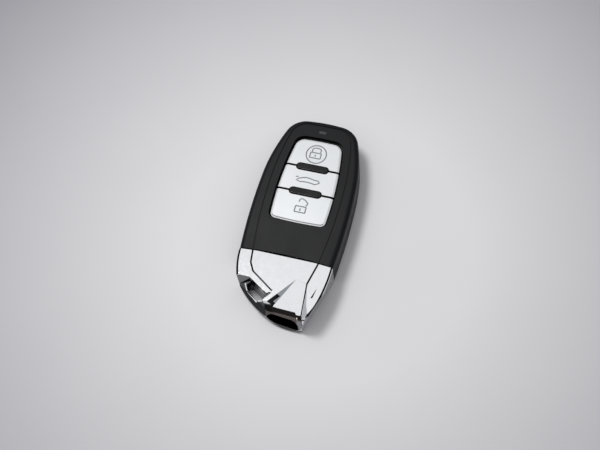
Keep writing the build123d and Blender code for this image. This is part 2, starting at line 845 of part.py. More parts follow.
# Copper windings in the waists of the core
with BuildPart() as coil_winding:
    with BuildSketch(Plane.XY.offset(board_top + slide_gap)):
        with Locations((coil_x, coil_y)):
            Rectangle(coil_size - 2 * fit_gap, winding_width)
            Rectangle(coil_size - 2 * winding_depth, winding_width, mode=Mode.SUBTRACT)
            Rectangle(winding_width, coil_size - 2 * fit_gap)
            Rectangle(winding_width, coil_size - 2 * winding_depth, mode=Mode.SUBTRACT)
    extrude(amount=coil_height - 2 * slide_gap)

# Transponder: a wedge shaped capsule
with BuildPart() as transponder:
    with BuildSketch(Plane.XZ.offset(-transponder_y - transponder_width / 2)):
        with BuildLine():
            half_length = transponder_length / 2
            Polyline(
                (transponder_x - half_length, floor_thickness),
                (transponder_x + half_length, floor_thickness),
                (transponder_x + half_length - transponder_taper, floor_thickness + transponder_height),
                (transponder_x - half_length + transponder_taper, floor_thickness + transponder_height),
                close=True,
            )
        make_face()
    extrude(amount=transponder_width)

# Coin cell: the can, its cap and the ring that parts them
with BuildPart() as cell_can:
    with BuildSketch(Plane.XY.offset(cell_bottom)):
        with Locations((cell_x, cell_y)):
            Circle(cell_diameter / 2)
    extrude(amount=cell_height - cell_step)
    fillet(cell_can.edges().sort_by(Axis.Z)[0], cell_wall)
    with BuildSketch(Plane.XY.offset(cell_bottom + cell_wall)):
        with Locations((cell_x, cell_y)):
            Circle(cell_diameter / 2 - cell_wall)
    extrude(amount=cell_height, mode=Mode.SUBTRACT)

with BuildPart() as cell_gasket:
    with BuildSketch(Plane.XY.offset(cell_bottom + cell_wall)):
        with Locations((cell_x, cell_y)):
            Circle(cell_diameter / 2 - cell_wall)
            Circle(cell_cap_radius, mode=Mode.SUBTRACT)
    extrude(amount=cell_height - cell_step - cell_wall)

with BuildPart() as cell_cap:
    with BuildSketch(Plane.XY.offset(cell_bottom + cell_wall)):
        with Locations((cell_x, cell_y)):
            Circle(cell_cap_radius)
    extrude(amount=cell_height - cell_wall)
    fillet(cell_cap.edges().sort_by(Axis.Z)[-1], cell_wall)

# Drawer that holds the cell; its front closes the end of the case
with BuildPart() as battery_tray:
    with BuildSketch(Plane.XY.offset(tray_bottom)):
        with Locations((tray_left_x, tray_back_y)):
            Rectangle(
                tray_right_x - tray_left_x,
                tray_back_y - tip_y,
                align=(Align.MIN, Align.MAX),
            )
    extrude(amount=tray_side_height)
    fillet(battery_tray.edges().filter_by(Axis.Z).group_by(Axis.Y)[-1], tray_corner_radius)
    with BuildSketch(Plane.XY.offset(tray_bottom)):
        with Locations((tray_left_x, inner_end_y - fit_gap)):
            Rectangle(
                tray_right_x - tray_left_x,
                inner_end_y - fit_gap - tip_y,
                align=(Align.MIN, Align.MAX),
            )
    extrude(amount=tray_top - tray_bottom)
    with BuildSketch():
        add(cap_zone)
    extrude(amount=case_height, mode=Mode.SUBTRACT)
    # Round pocket for the cell, open at the back for the side contact
    with BuildSketch(Plane.XY.offset(tray_bottom + tray_floor)):
        with Locations((cell_x, cell_y)):
            Circle(cell_diameter / 2 + slide_gap)
        with Locations((cell_x, tray_back_y + overrun)):
            Rectangle(tray_notch, tray_wall + 2 * overrun, align=(Align.CENTER, Align.MAX))
    extrude(amount=tray_side_height, mode=Mode.SUBTRACT)
    # Hole to push the cell out with a finger
    with BuildSketch():
        with Locations((cell_x, cell_y)):
            Circle(finger_notch_radius)
    extrude(amount=case_height, mode=Mode.SUBTRACT)
    # Groove for the seal round the front
    with BuildSketch(Plane.XZ.offset(seal_thickness / 2 - seal_y)):
        with Locations(front_centre):
            Rectangle(front_width + 2 * slide_gap, front_height + 2 * slide_gap)
            Rectangle(front_width - 2 * seal_width, front_height - 2 * seal_width, mode=Mode.SUBTRACT)
    extrude(amount=-seal_thickness, mode=Mode.SUBTRACT)

# Rubber seal in that groove
with BuildPart() as tray_seal:
    with BuildSketch(Plane.XZ.offset(seal_thickness / 2 - seal_y)):
        with Locations(front_centre):
            Rectangle(
                front_width + 2 * (slide_gap - fit_gap), front_height + 2 * (slide_gap - fit_gap)
            )
            Rectangle(front_width - 2 * seal_width, front_height - 2 * seal_width, mode=Mode.SUBTRACT)
    extrude(amount=-seal_thickness)

# Contact that bears on the cell's cap
with BuildPart() as negative_contact:
    with BuildSketch(Plane.YZ.offset(cell_x - contact_width / 2)):
        with BuildLine() as leaf:
            Polyline(
                (tray_back_y, board_bottom - contact_thickness / 2),
                (cell_y + cell_diameter / 4, board_bottom - contact_thickness / 2),
                (cell_y, cell_top + slide_gap + contact_thickness / 2),
                (cell_y - contact_width, cell_top + free_gap + contact_thickness),
            )
        trace(leaf.line, contact_thickness)
    extrude(amount=contact_width)

# Contact that bears on the side of the cell's can, through the drawer's open back
with BuildPart() as positive_contact:
    with BuildSketch(Plane.YZ.offset(cell_x - contact_width / 2)):
        with BuildLine() as leaf:
            touch_y = cell_y + cell_diameter / 2 + slide_gap + contact_thickness / 2
            Polyline(
                (touch_y + contact_width, board_bottom - contact_thickness / 2),
                (touch_y + tray_wall, board_bottom - contact_thickness / 2),
                (touch_y, cell_bottom + cell_height / 2),
                (touch_y + contact_thickness, cell_bottom + cell_height / 4),
            )
        trace(leaf.line, contact_thickness)
    extrude(amount=contact_width)

# Emergency key blade, milled on both faces
with BuildPart() as key_blade:
    with BuildSketch(Plane.XY.offset(blade_bottom)):
        with BuildLine():
            half_blade = blade_width / 2
            Polyline(
                (blade_x - half_blade, cap_pocket_y + free_gap),
                (blade_x - half_blade, blade_tip_y - blade_point),
                (blade_x - half_blade / 2, blade_tip_y),
                (blade_x + half_blade / 2, blade_tip_y),
                (blade_x + half_blade, blade_tip_y - blade_point),
                (blade_x + half_blade, cap_pocket_y + free_gap),
                close=True,
            )
        make_face()
    extrude(amount=blade_thickness)
    for base, depth in ((blade_top, -blade_groove_depth), (blade_bottom, blade_groove_depth)):
        with BuildSketch(Plane.XY.offset(base)):
            with BuildLine() as track:
                Polyline(*[blade_point_at(*share) for share in blade_track_shares])
            trace(track.line, blade_groove_width)
        extrude(amount=depth, mode=Mode.SUBTRACT)
    with BuildSketch(Plane.XY.offset(blade_bottom)):
        with Locations((blade_x, pin_y)):
            Circle(pin_radius + fit_gap)
    extrude(amount=blade_thickness, mode=Mode.SUBTRACT)

# Pin through the holder and the blade's root
with BuildPart() as blade_pin:
    with BuildSketch(Plane.XY.offset(holder_bottom + fit_gap)):
        with Locations((blade_x, pin_y)):
            Circle(pin_radius)
    extrude(amount=pin_length)

# End cap: the block
with BuildPart() as end_cap:
    with BuildSketch():
        add(cap_plan)
    extrude(amount=case_height)
    fillet(end_cap.faces().sort_by(Axis.Z)[0].edges(), cap_bottom_radius)
    fillet(end_cap.faces().sort_by(Axis.Z)[-1].edges(), cap_top_radius)
    with BuildSketch():
        add(case_zone)
    extrude(amount=case_height, mode=Mode.SUBTRACT)
    # End face leaning back towards the top
    with BuildSketch(Plane.YZ):
        with BuildLine():
            Polyline(
                (tip_y, lean_low_share * case_height),
                (tip_y + lean_depth, case_height),
                (tip_y + lean_depth, case_height + overrun),
                (tip_y - overrun, case_height + overrun),
                (tip_y - overrun, lean_low_share * case_height),
                close=True,
            )
        make_face()
    extrude(amount=case_width, both=True, mode=Mode.SUBTRACT)
    # Right side drawn in towards the bottom, then the sloping facets
    add(side_undercut.part, mode=Mode.SUBTRACT)
    add(ring_shelf.part, mode=Mode.SUBTRACT)
    add(scoop.part, mode=Mode.SUBTRACT)
    add(scoop_edge_groove.part, mode=Mode.SUBTRACT)
    add(tip_bevel.part, mode=Mode.SUBTRACT)
    # Step above the mouth
    with BuildSketch(Plane.XY.offset(step_height_share * case_height)):
        with BuildLine():
            Polyline(*[cap_point(*share) for share in step_shares], close=True)
        make_face()
    extrude(amount=case_height, mode=Mode.SUBTRACT)
    # Mouth, in an end face that leans back over it
    add(mouth_lean.part, mode=Mode.SUBTRACT)
    with BuildSketch(Plane.XZ.offset(-tip_y - mouth_depth)):
        with BuildLine():
            Polyline(
                *[(across * half_width, up * case_height) for across, up in mouth_shares], close=True
            )
        make_face()
    extrude(amount=mouth_depth + overrun, mode=Mode.SUBTRACT)
    # Key ring hole
    with BuildSketch():
        with BuildLine():
            Polyline(*[cap_point(*share) for share in ring_hole_shares], close=True)
        make_face()
    extrude(amount=case_height, mode=Mode.SUBTRACT)
    # Grooves and the small nick on the top
    for share_list in (left_groove_shares, right_groove_shares):
        with BuildSketch(Plane.XY.offset(case_height - cap_groove_depth)):
            with BuildLine() as groove:
                Polyline(*[cap_point(*share) for share in share_list])
            trace(groove.line, cap_groove_width)
        extrude(amount=cap_groove_depth, mode=Mode.SUBTRACT)
    with BuildSketch(Plane.XY.offset(case_height - accent_depth)):
        with BuildLine():
            Polyline(*[cap_point(*share) for share in nick_shares], close=True)
        make_face()
    extrude(amount=accent_depth, mode=Mode.SUBTRACT)
    # Pocket for the holder, its screw holes and the release button's window
    with BuildSketch(Plane.XY.offset(cap_wall)):
        add(cut_at(inset_plan(cap_plan, cap_wall), cap_pocket_y))
    extrude(amount=pocket_top - cap_wall, mode=Mode.SUBTRACT)
    with BuildSketch(Plane.XZ.offset(-holder_face_y)):
        with Locations(*zip(cap_screw_x, cap_screw_z)):
            Circle(screw_radius + fit_gap)
    extrude(amount=screw_head_height + cap_screw_length + free_gap, mode=Mode.SUBTRACT)
    with BuildSketch():
        with Locations((latch_x, release_y)):
            SlotOverall(release_length + 2 * slide_gap, release_width + 2 * slide_gap)
    extrude(amount=cap_wall, mode=Mode.SUBTRACT)

# Holder: fills the cap's pocket and clamps the root of the blade
with BuildPart() as key_holder:
    with BuildSketch(Plane.XY.offset(holder_bottom)):
        add(cut_at(inset_plan(cap_plan, cap_wall + fit_gap), cap_pocket_y + fit_gap))
        add(joint_plan(-seam_gap - holder_step, 1), mode=Mode.SUBTRACT)
    extrude(amount=holder_top - holder_bottom)
    with BuildSketch(Plane.XZ.offset(-joint_y)):
        with Locations((blade_x, blade_bottom + blade_thickness / 2)):
            Rectangle(blade_width + 2 * fit_gap, blade_thickness + 2 * fit_gap)
    extrude(amount=pocket_depth, mode=Mode.SUBTRACT)
    with BuildSketch(Plane.XY.offset(holder_bottom)):
        with Locations((blade_x, pin_y)):
            Circle(pin_radius + fit_gap)
    extrude(amount=pin_length + 2 * fit_gap, mode=Mode.SUBTRACT)
    # Channel in the top for the latch spring, with the stake that holds its root
    with BuildSketch(Plane.XY.offset(latch_bottom)):
        with Locations((latch_x, joint_y)):
            Rectangle(
                latch_width + 2 * slide_gap,
                joint_y - cap_pocket_y,
                align=(Align.CENTER, Align.MAX),
            )
    extrude(amount=case_height, mode=Mode.SUBTRACT)
    with BuildSketch(Plane.XY.offset(latch_bottom - slide_gap)):
        with Locations((latch_x, joint_y)):
            Rectangle(
                latch_width + 2 * slide_gap,
                joint_y - stake_y - stake_radius - fit_gap * 2,
                align=(Align.CENTER, Align.MAX),
            )
    extrude(amount=slide_gap, mode=Mode.SUBTRACT)
    with BuildSketch(Plane.XY.offset(latch_bottom)):
        with Locations((latch_x, stake_y)):
            Circle(stake_radius)
    extrude(amount=latch_thickness + free_gap)
    # Well for the release button's stem and flange
    with BuildSketch(Plane.XY.offset(holder_bottom)):
        with Locations((latch_x, release_y)):
            Rectangle(release_stem + 2 * slide_gap, release_stem + 2 * slide_gap)
    extrude(amount=latch_bottom, mode=Mode.SUBTRACT)
    with BuildSketch(Plane.XY.offset(holder_bottom)):
        with Locations((latch_x, release_y)):
            SlotOverall(
                release_length + 2 * (release_flange + slide_gap),
                release_width + 2 * (release_flange + slide_gap),
            )
    extrude(amount=release_flange + release_travel + slide_gap, mode=Mode.SUBTRACT)
    # Screw holes with sunk seats
    with BuildSketch(Plane.XZ.offset(-joint_y)):
        with Locations(*zip(cap_screw_x, cap_screw_z)):
            Circle(screw_radius + fit_gap)
    extrude(amount=pocket_depth, mode=Mode.SUBTRACT)
    with BuildSketch(Plane.XZ.offset(-joint_y)):
        with Locations(*zip(cap_screw_x, cap_screw_z)):
            Circle(screw_head_radius + fit_gap)
    extrude(amount=joint_y - holder_face_y + screw_head_height, mode=Mode.SUBTRACT)

# Screws that hold the holder in the cap
with BuildPart() as cap_screws:
    with BuildSketch(Plane.XZ.offset(-holder_face_y)):
        with Locations(*zip(cap_screw_x, cap_screw_z)):
            Circle(screw_head_radius)
    extrude(amount=screw_head_height)
    with BuildSketch(Plane.XZ.offset(screw_head_height - holder_face_y)):
        with Locations(*zip(cap_screw_x, cap_screw_z)):
            Circle(screw_radius)
    extrude(amount=cap_screw_length)

# Latch spring: a leaf whose hook drops behind the case's end wall
with BuildPart() as latch_spring:
    with BuildSketch(Plane.YZ.offset(latch_x - latch_width / 2)):
        with BuildLine():
            hook_y = inner_end_y + slide_gap
            Polyline(
                (cap_pocket_y + free_gap, latch_bottom),
                (hook_y, latch_bottom),
                (hook_y, latch_bottom - hook_drop),
                (hook_y + hook_length / 2, latch_bottom - hook_drop),
                (hook_y + hook_length, latch_bottom),
                (hook_y + hook_length, latch_bottom + latch_thickness),
                (cap_pocket_y + free_gap, latch_bottom + latch_thickness),
                close=True,
            )
        make_face()
    extrude(amount=latch_width)
    with BuildSketch(Plane.XY.offset(latch_bottom)):
        with Locations((latch_x, stake_y)):
            Circle(stake_radius + fit_gap)
    extrude(amount=latch_thickness, mode=Mode.SUBTRACT)

# Release button in the back of the cap
with BuildPart() as release_button:
    with BuildSketch(Plane.XY.offset(release_recess)):
        with Locations((latch_x, release_y)):
            SlotOverall(release_length, release_width)
    extrude(amount=holder_bottom - release_recess)
    chamfer(release_button.faces().sort_by(Axis.Z)[0].edges(), release_recess)
    with BuildSketch(Plane.XY.offset(holder_bottom)):
        with Locations((latch_x, release_y)):
            SlotOverall(release_length + 2 * release_flange, release_width + 2 * release_flange)
    extrude(amount=release_flange)
    with BuildSketch(Plane.XY.offset(holder_bottom)):
        with Locations((latch_x, release_y)):
            Rectangle(release_stem, release_stem)
    extrude(amount=latch_bottom - fit_gap - holder_bottom)

pieces = {
    "upper_shell": upper_shell,
    "lower_shell": lower_shell,
    "led_window": led_window,
    "button_frame": button_frame,
    "keypad_gasket": keypad_gasket,
    "circuit_board": circuit_board,
    "board_screws": board_screws,
    "microcontroller": chip(
        controller_size, controller_size, controller_height, controller_x, controller_y, board_top
    ),
    "led": chip(led_length, led_width, led_height, 0, led_y, board_top),
    "radio_chip": chip(
        radio_size, radio_size, radio_height, radio_x, radio_y, board_bottom - radio_height
    ),
    "crystal": chip(
        crystal_length, crystal_width, crystal_height, crystal_x, crystal_y, board_bottom - crystal_height
    ),
    "chip_capacitors": chip_capacitors,
    "aerial_loop": aerial_loop,
    "coil_core": coil_core,
    "coil_winding": coil_winding,
    "transponder": transponder,
    "cell_can": cell_can,
    "cell_gasket": cell_gasket,
    "cell_cap": cell_cap,
    "battery_tray": battery_tray,
    "tray_seal": tray_seal,
    "negative_contact": negative_contact,
    "positive_contact": positive_contact,
    "key_blade": key_blade,
    "blade_pin": blade_pin,
    "end_cap": end_cap,
    "key_holder": key_holder,
    "cap_screws": cap_screws,
    "latch_spring": latch_spring,
    "release_button": release_button,
}
for button, (band_low_y, band_high_y) in button_bands.items():
    pieces[button + "_button"] = press_button(button, band_low_y, band_high_y)
    pieces[button + "_plunger"] = press_plunger(button)
    pieces[button + "_switch"] = tact_switch(button)

os.makedirs("parts", exist_ok=True)
for name, piece in pieces.items():
    piece.part.label = name
    export_step(piece.part, "parts/" + name + ".step")
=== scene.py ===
import json
import math

import bmesh
import bpy
from mathutils import Matrix, Vector


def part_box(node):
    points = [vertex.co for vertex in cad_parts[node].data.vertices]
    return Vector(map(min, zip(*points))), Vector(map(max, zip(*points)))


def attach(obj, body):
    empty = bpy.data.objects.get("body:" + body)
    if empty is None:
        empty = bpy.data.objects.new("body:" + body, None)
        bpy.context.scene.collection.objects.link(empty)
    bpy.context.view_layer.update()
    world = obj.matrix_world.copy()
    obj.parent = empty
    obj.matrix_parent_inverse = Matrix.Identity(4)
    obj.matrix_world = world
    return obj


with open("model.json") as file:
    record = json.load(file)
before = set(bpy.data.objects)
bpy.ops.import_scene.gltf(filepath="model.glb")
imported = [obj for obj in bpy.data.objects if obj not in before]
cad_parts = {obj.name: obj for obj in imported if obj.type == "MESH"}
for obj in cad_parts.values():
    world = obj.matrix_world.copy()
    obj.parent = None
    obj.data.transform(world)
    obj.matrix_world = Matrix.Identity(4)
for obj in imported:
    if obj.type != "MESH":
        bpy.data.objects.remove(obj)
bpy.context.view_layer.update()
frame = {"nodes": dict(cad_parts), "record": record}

mm = 0.001


# Studio: camera, table, lamp and sky, with lengths in metres unless the name says otherwise
camera_lens_mm = 60
camera_sensor_mm = 36
camera_nearest = 0.01
camera_place = Vector((69.45, -151.475, 342.4)) * mm
camera_forward = Vector((-0.1845, 0.4011, -0.8973))
camera_roll = math.radians(10.6)
table_reach = 6.0
table_sides = 96
# Table tones, bright and dark: a pool of light is painted on the table, bright near its centre and
# darker from the first distance out to the second
table_lit_and_shaded_tones = ("#d5d4d6", "#939297")
painted_light_pool_centre = Vector((10, -4, 0)) * mm
painted_light_pool_start = 0.055
painted_light_pool_reach = 0.19
table_mottle_share = 0.06
lamp_place = Vector((-0.24, 0.09, 0.70))
lamp_size = 0.22
lamp_watts = 2.9
sky_strength = 0.98
sky_tones = [(0.0, "#747679"), (0.5, "#87898d"), (0.92, "#fdfdfe")]


def linear(hex_colour):
    """An sRGB hex value as a linear colour."""
    channels = [int(hex_colour[start:start + 2], 16) / 255 for start in (1, 3, 5)]
    return (*[c / 12.92 if c <= 0.04045 else ((c + 0.055) / 1.055) ** 2.4 for c in channels], 1)


def add_node(tree, kind, values=None, links=None, **settings):
    """Adds a shader node with its settings, socket values and incoming links."""
    node = tree.nodes.new(kind)
    for name, setting in settings.items():
        setattr(node, name, setting)
    for socket, value in (values or {}).items():
        node.inputs[socket].default_value = value
    for socket, source in (links or {}).items():
        tree.links.new(source, node.inputs[socket])
    return node


def add_object(name, data):
    """A new object in the scene."""
    thing = bpy.data.objects.new(name, data)
    bpy.context.scene.collection.objects.link(thing)
    return thing


def shaded(name, **sockets):
    """A material with these values on its Principled shader, and a node for its coordinates."""
    material = bpy.data.materials.new(name)
    material.use_nodes = True
    tree = material.node_tree
    for socket, value in sockets.items():
        tree.nodes["Principled BSDF"].inputs[socket.replace("_", " ")].default_value = value
    add_node(tree, "ShaderNodeTexCoord", name="coordinates")
    return material


def pattern(material, size_mm, kind="Noise", stretch=None, settings=None, **values):
    """A texture whose marks measure about that many millimetres, scaled along each axis if asked."""
    tree = material.node_tree
    place = tree.nodes["coordinates"].outputs["Object"]
    if stretch:
        mapping = add_node(tree, "ShaderNodeMapping", {"Scale": stretch}, {"Vector": place})
        place = mapping.outputs["Vector"]
    values["Scale"] = 1 / (size_mm * mm)
    texture = add_node(tree, "ShaderNodeTex" + kind, values, {"Vector": place}, **(settings or {}))
    return texture.outputs["Distance" if kind == "Voronoi" else "Fac"]


# Ways on the fob: to its right, towards its top end, and up from the table
across = (1, 0, 0)
along = (0, 1, 0)
up = (0, 0, 1)
# How far a surface faces a way: from -1, its back to it, to 1, full on, with room for rounding
least = -1.01
most = 1.01
# Heights in millimetres: just over the fob's top, and well under what shows of the keypad
over_top = 13.1
keypad_foot = 5.0


def facet(way, match=0.97):
    """The test that a surface faces a way, to within 14 degrees unless another match is given."""
    return [(way, match, most)]


level = facet(up, 0.99)
any_facing = []


def between(tree, source, way, low, high):
    """1 where a vector's reach along a way lies between two limits, else 0."""
    reach = add_node(
        tree, "ShaderNodeVectorMath", {1: way}, {0: source}, operation="DOT_PRODUCT"
    ).outputs["Value"]
    limits = {1: (low + high) / 2, 2: (high - low) / 2}
    test = add_node(tree, "ShaderNodeMath", limits, {0: reach}, operation="COMPARE")
    return test.outputs["Value"]


def overlaid(tree, colour, patches):
    """A colour with patches of other tones over it, and each patch's mask, 1 inside it and else 0.

    A patch is a hex tone, its limits in millimetres along some ways, and the ways that it faces.
    """
    coordinates = tree.nodes["coordinates"].outputs
    in_mm = add_node(
        tree, "ShaderNodeVectorMath", {"Scale": 1 / mm}, {0: coordinates["Object"]}, operation="SCALE"
    ).outputs["Vector"]
    masks = []
    for tone, where, facing in patches:
        tests = [between(tree, in_mm, *limits) for limits in where]
        tests += [between(tree, coordinates["Normal"], *limits) for limits in facing]
        mask = tests[0]
        for test in tests[1:]:
            both = add_node(tree, "ShaderNodeMath", links={0: mask, 1: test}, operation="MULTIPLY")
            mask = both.outputs["Value"]
        masks.append(mask)
        links = {"Factor": mask, "A": colour}
        mixed = add_node(tree, "ShaderNodeMix", {"B": linear(tone)}, links, data_type="RGBA")
        colour = mixed.outputs["Result"]
    return colour, masks


# The stretch of a noise that holds most of its values
noise_span = (0.3, 0.7)


def finish(material, colour, rough=None, relief=None, span=noise_span, patches=()):
    """Drives a material from patterns, and returns the masks of the patches laid over its colour.

    Colour is a pattern and two hex tones, rough a pattern and two roughnesses that it runs between
    over a span, and relief a pattern and its depth in millimetres.
    """
    tree = material.node_tree
    shader = tree.nodes["Principled BSDF"]
    source, *tones = colour
    ramp = add_node(tree, "ShaderNodeValToRGB", links={"Fac": source})
    for stop, tone in zip(ramp.color_ramp.elements, tones):
        stop.color = linear(tone)
    tint = ramp.outputs["Color"]
    masks = []
    if patches:
        tint, masks = overlaid(tree, tint, patches)
    tree.links.new(tint, shader.inputs["Base Color"])
    if rough:
        source, smooth, dull = rough
        limits = {"From Min": span[0], "From Max": span[1], "To Min": smooth, "To Max": dull}
        roughness = add_node(tree, "ShaderNodeMapRange", limits, {"Value": source})
        tree.links.new(roughness.outputs["Result"], shader.inputs["Roughness"])
    if relief:
        source, depth_mm = relief
        bump = add_node(tree, "ShaderNodeBump", {"Distance": depth_mm * mm}, {"Height": source})
        bump.inputs["Strength"].default_value = 1.0
        tree.links.new(bump.outputs["Normal"], shader.inputs["Normal"])
    return masks


# Painted shade in the accent line round the front of the case: its floor and its walls are made near
# black
line_foot = 12.0
accent_line_painted_shade_patches = [
    ("#020202", [(up, line_foot, 12.95)], level),
    ("#020202", [(up, line_foot, 12.99)], [(up, -0.1, 0.1)]),
]


def moulded_abs():
    """Spark eroded ABS: near black, with a fine even grain that gives a soft satin sheen."""
    material = shaded("moulded_abs", IOR=1.53, Specular_IOR_Level=0.16)
    handled = pattern(material, 9.0, Detail=4.0)
    grain = pattern(material, 0.22, Detail=3.0)
    # The accent line's floor and walls get painted shade
    finish(
        material, (handled, "#0a0b0d", "#0e0f11"), (handled, 0.40, 0.50), (grain, 0.012),
        patches=accent_line_painted_shade_patches,
    )
    return material


def glass_filled_nylon():
    """Moulded nylon with glass in it: black, dull, with a slightly fibrous mottle."""
    material = shaded("glass_filled_nylon", IOR=1.53)
    fibres = pattern(material, 0.5, Detail=5.0, Distortion=1.5)
    finish(material, (fibres, "#191a1b", "#262728"), (fibres, 0.48, 0.62), (fibres, 0.01))
    return material


# Painted shade: everything on the raised bars but their flat tops is made darker
bar_side_painted_shade_patches = [("#010101", [(up, keypad_foot, over_top)], [(up, least, 0.98)])]


def gloss_abs():
    """ABS out of a polished mould: deep black with sharp highlights and faint hand marks."""
    material = shaded("gloss_abs", IOR=1.53, Specular_IOR_Level=0.25)
    marks = pattern(material, 3.0, Detail=5.0)
    # The sides of the raised bars get painted shade
    finish(
        material, (marks, "#0a0b0c", "#101112"), (marks, 0.16, 0.26), span=(0.35, 0.7),
        patches=bar_side_painted_shade_patches,
    )
    return material


# Tones of the buttons' edges, with a painted highlight and painted shade among them. The lacquer ends
# at the foot of the bevel, and the rest is bare
bare_and_painted_shade_black = "#0a0a0b"
lacquer_foot = 12.12
over_buttons = 12.6
on_bevel = (up, 0.5, 0.98)
button_lacquer_and_painted_light_patches = [
    # A painted highlight on the bevel, and painted shade on the crease over it at the buttons' lower
    # edges
    ("#e6e8e9", [(up, lacquer_foot, 12.48)], [on_bevel]),
    ("#909295", [(up, 12.3, 12.49)], [on_bevel, (along, -1.0, -0.25)]),
    # Bare black below the lacquer and on the walls, and painted shade on the edges on both sides of
    # the two gaps
    (bare_and_painted_shade_black, [(up, keypad_foot, lacquer_foot)], any_facing),
    (bare_and_painted_shade_black, [(up, keypad_foot, over_buttons)], [(up, least, 0.5)]),
    (bare_and_painted_shade_black, [(up, keypad_foot, over_buttons), (along, 9.0, 9.85)], any_facing),
    (bare_and_painted_shade_black, [(up, keypad_foot, over_buttons), (along, 19.6, 20.45)], any_facing),
]


def silver_lacquer():
    """Satin silver lacquer on ABS: pale, a little metallic, with a fine flake in it."""
    material = shaded("silver_lacquer", Metallic=0.25, IOR=1.5)
    flake = pattern(material, 0.16, Detail=2.0)
    cloud = pattern(material, 6.0, Detail=3.0)
    # The buttons' bevel gets a painted highlight, and their crease and gap edges get painted shade
    finish(
        material, (cloud, "#c6c8ca", "#d0d2d3"), (flake, 0.34, 0.46), (flake, 0.004),
        patches=button_lacquer_and_painted_light_patches,
    )
    return material


# Facets of the chrome cap, as the ways that they face
shelf_way = (-0.477, -0.763, 0.435)
bar_way = (-0.152, -0.244, 0.958)
ridge_way = (0.722, -0.554, 0.414)
lean_way = (-0.091, -0.905, 0.413)
bevel_way = (-0.647, -0.171, 0.743)
scoop_floor_way = (0, -0.313, 0.95)
on_bar = facet(bar_way, 0.985)
on_recess = facet(up, 0.3)
upright = [(up, -0.3, 0.3)]
end_facing = [(along, least, -0.8)]
# Ways square to three stretches of the ring hole's rim, to the scoop's groove and to its slope
rim_way = (-0.585, -0.811, 0)
rim_left_way = (-0.893, -0.45, 0)
rim_end_way = (-0.09, -0.996, 0)
groove_way = (0.999, 0.0417, 0)
scoop_way = (0, -0.33, 1)
# Heights, and reaches along and across the cap, that bound its patches
under_foot = -0.1
lean_foot = 1.9
lean_top = 6.8
edge_top = 11.8
ridge_step = 11.2
left_end = -19
right_end = 19
lower_end = -41
# Painted shade, reflection and highlight tones that several patches of the cap share
groove_painted_shade_tone = "#1c1d1e"
edge_painted_reflection_tone = "#2c2d2f"
rim_painted_highlight_tone = "#f0f1f2"
ridge_painted_shade_tone = "#252627"
cap_painted_light_patches = [
    # Painted shade on the groove floors and the nick
    (groove_painted_shade_tone, [(up, 11.9, 12.8)], level),
    (
        groove_painted_shade_tone,
        [(groove_way, 8.8, 9.5), (scoop_way, 20.2, 21.1), (along, -38, -26.2)],
        facet(scoop_floor_way, 0.99),
    ),
    # Painted dark reflection on the rounded top edge on the left and on the right, and a painted pale
    # reflection on the band under the right one
    (edge_painted_reflection_tone, [(up, 11.6, over_top), (across, left_end, -12)], [(across, least, -0.12)]),
    (edge_painted_reflection_tone, [(up, edge_top, over_top), (across, 6, right_end)], [(across, 0.25, 0.85)]),
    ("#b4b5b8", [(up, under_foot, edge_top), (across, 6, right_end)], [(across, 0.4, most)]),
    # Painted shade on the edge at the joint with the case
    (groove_painted_shade_tone, [(up, edge_top, over_top), (along, -17.75, -17.4)], [(up, 0.7, most)]),
    # Painted shade and painted dark reflections in the ring recess: its end wall, shelf, bar, outer
    # side and the hole's walls
    ("#58595b", [(up, 3.0, over_top), (across, left_end, -9), (along, -30, -27)], end_facing),
    ("#6c6d6f", [(up, 1.0, over_top)], facet(shelf_way)),
    ("#303132", [(up, 1.0, 6.0)], on_bar),
    (
        "#505153",
        [(up, 1.3, 6.0), (across, -18, -3.5), (along, lower_end, -27)],
        [(up, -0.3, 0.5)],
    ),
    ("#48494b", [(across, -13.3, -4.4), (along, -33.7, -28), (up, 0.0, 9.0)], upright),
    # Painted highlight on the rim of the hole
    (rim_painted_highlight_tone, [(rim_way, 31.4, 31.95), (across, -12.5, -7.7)], on_bar),
    (rim_painted_highlight_tone, [(rim_left_way, 24.3, 24.85), (along, -30.3, -28.4), (up, 1.0, 8.0)], on_recess),
    (rim_painted_highlight_tone, [(rim_end_way, 33.6, 34.05), (across, -8.3, -5.3), (up, 1.0, 6.0)], on_recess),
    # Painted shade on the lower end of the ridge beside the scoop
    (ridge_painted_shade_tone, [(up, ridge_step, over_top), (along, lower_end, -32.3)], facet(ridge_way)),
    (ridge_painted_shade_tone, [(up, 3.0, ridge_step), (along, lower_end, -34.8)], facet(ridge_way)),
    # Painted shade on the lip under the mouth, and on the wall under the scoop
    ("#4e4f50", [(up, 0.0, 2.1), (across, -6, 11), (along, -42, -35)], [(along, least, -0.4)]),
    ("#141516", [(up, 6.0, 10.6), (along, -39, -34)], end_facing),
    # Painted reflection on the step, the leaning face round the mouth and its right end, and painted
    # shade inside the mouth
    ("#57524f", [(up, 6.3, 6.7)], level),
    ("#625d5a", [(up, lean_foot, lean_top)], facet(lean_way)),
    ("#8c8d90", [(up, lean_foot, lean_top), (across, 9.2, 14)], facet(lean_way)),
    (
        "#030303",
        [(across, -2.82, 10.12), (up, 2.01, 5.99), (along, lower_end, -34.5)],
        [(lean_way, least, 0.96)],
    ),
]
# Painted pale reflections: the ridge's flank and the bevel over the tip get a pale tone without the
# mirror
flank_painted_reflection_tone = "#c6cbce"
painted_pale_reflection_patches = [
    (flank_painted_reflection_tone, [(up, 6.0, over_top), (along, -32.3, -24)], facet(ridge_way)),
    (flank_painted_reflection_tone, [(up, 6.0, ridge_step), (along, -34.8, -32.3)], facet(ridge_way)),
    ("#b0b2b5", [(up, 3.0, over_top), (across, 8, 15)], facet(bevel_way)),
]


